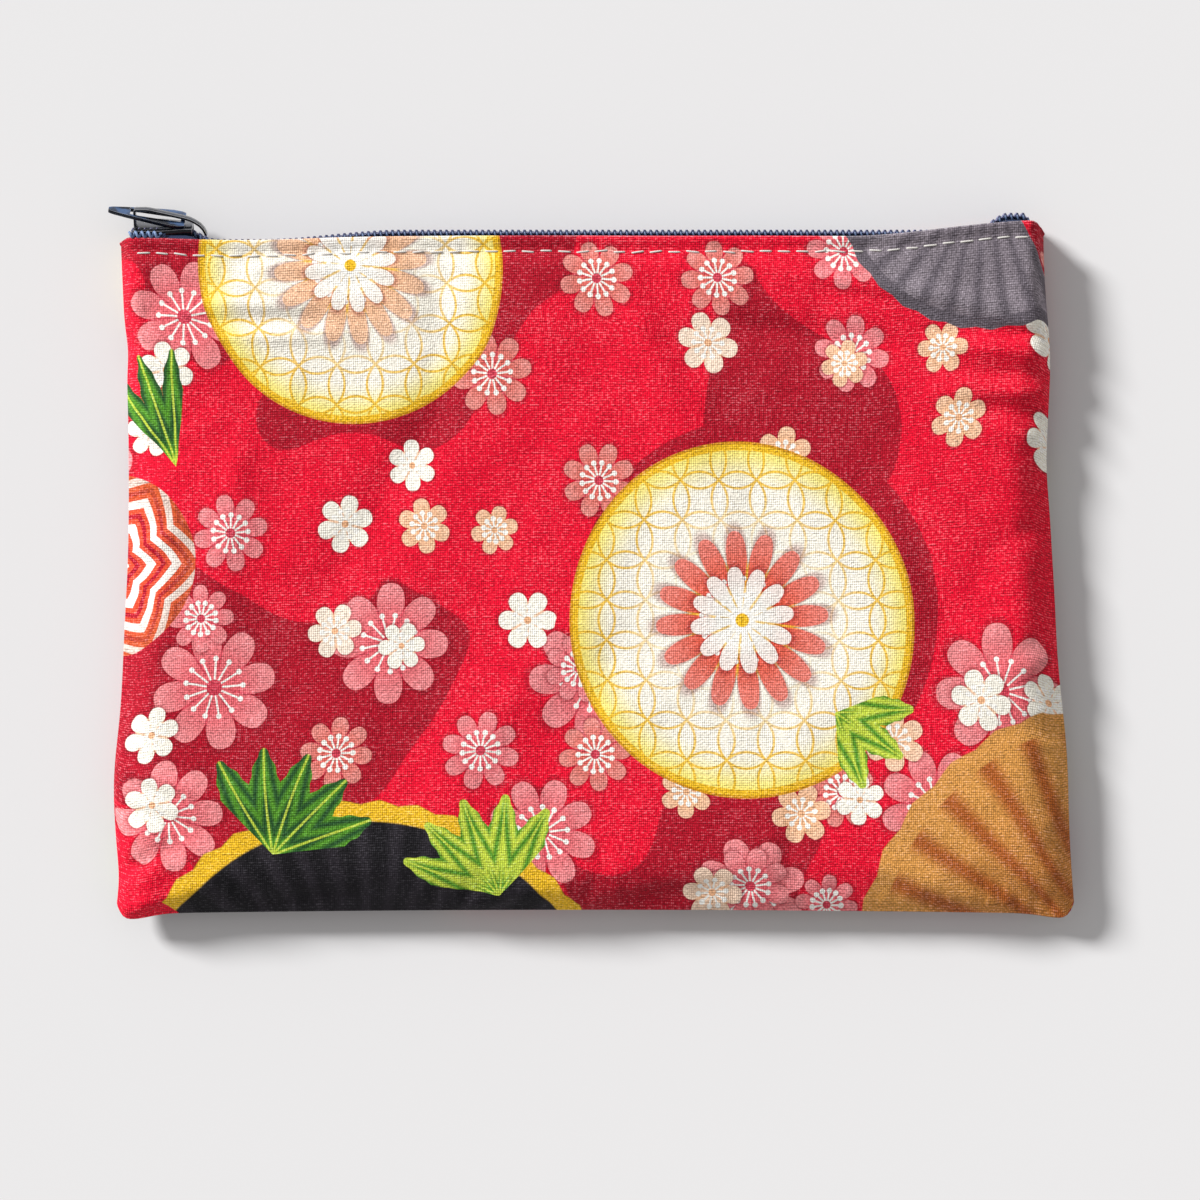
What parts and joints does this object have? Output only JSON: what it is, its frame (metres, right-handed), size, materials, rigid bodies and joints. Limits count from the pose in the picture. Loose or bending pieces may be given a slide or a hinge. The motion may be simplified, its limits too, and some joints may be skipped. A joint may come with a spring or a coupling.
{
  "type": "zip pouch",
  "caption": "Flat lined cotton pouch that opens along one long edge with a coil zip, a metal slider and a hinged pull.",
  "frame": {"origin": "on the flat of the back, where it rests, under the middle of the bottom seam and half way from that seam to the zip edge", "axes": "+X along the zip from the closed slider to the far end, +Y from the bottom seam to the zip, +Z from the back to the front"},
  "size_m": [0.1804, 0.1322, 0.0107],
  "materials": {
    "printed_cotton": "plain-weave quilting cotton with a printed pattern on a red ground",
    "interfacing": "soft white fusible fleece",
    "lining_cotton": "plain natural cotton",
    "zipper_tape": "woven navy polyester tape",
    "zipper_coil": "slate-blue nylon monofilament",
    "coil_cord": "spun filler cord",
    "zip_thread": "fine pale lilac thread",
    "topstitch_thread": "off-white polyester thread",
    "seam_thread": "red polyester thread",
    "lining_thread": "off-white polyester thread",
    "slider_metal": "dark gunmetal enamel, glossy, worn bright along its edges"
  },
  "bodies": {
    "back_wall": {"back_outer_panel": "printed_cotton", "back_interfacing": "interfacing", "back_lining": "lining_cotton", "back_zipper_tape": "zipper_tape", "back_zipper_coil": "zipper_coil", "back_coil_cord": "coil_cord", "back_coil_stitching": "zip_thread", "back_topstitching": "topstitch_thread", "outer_seam_stitching": "seam_thread", "lining_seam_stitching": "lining_thread"},
    "front_wall": {"front_outer_panel": "printed_cotton", "front_interfacing": "interfacing", "front_lining": "lining_cotton", "front_zipper_tape": "zipper_tape", "front_zipper_coil": "zipper_coil", "front_coil_cord": "coil_cord", "front_coil_stitching": "zip_thread", "front_topstitching": "topstitch_thread"},
    "slider": {"slider_body": "slider_metal", "slider_crown": "slider_metal"},
    "pull": {"pull_tab": "slider_metal"}
  },
  "joints": [
    {"name": "zip_slide", "type": "slide", "parent": "back_wall", "child": "slider", "axis": [1, 0, 0], "range_m": [0, 0.14], "deforming": ["front_zipper_tape", "front_zipper_coil", "front_coil_cord", "front_coil_stitching", "back_zipper_tape", "back_zipper_coil", "back_coil_cord", "back_coil_stitching"]},
    {"name": "mouth_open", "type": "hinge", "parent": "back_wall", "child": "front_wall", "pos_m": [0, -0.0632, 0.00535], "axis": [1, 0, 0], "range_deg": [0, 14]},
    {"name": "pull_swing", "type": "hinge", "parent": "slider", "child": "pull", "pos_m": [-0.0768, 0.0665, 0.00535], "axis": [0, 0, -1], "range_deg": [-2, 165]}
  ],
  "couplings": [
    {"joint": "mouth_open", "follows": "zip_slide", "rad_per_m": 1.74}
  ]
}
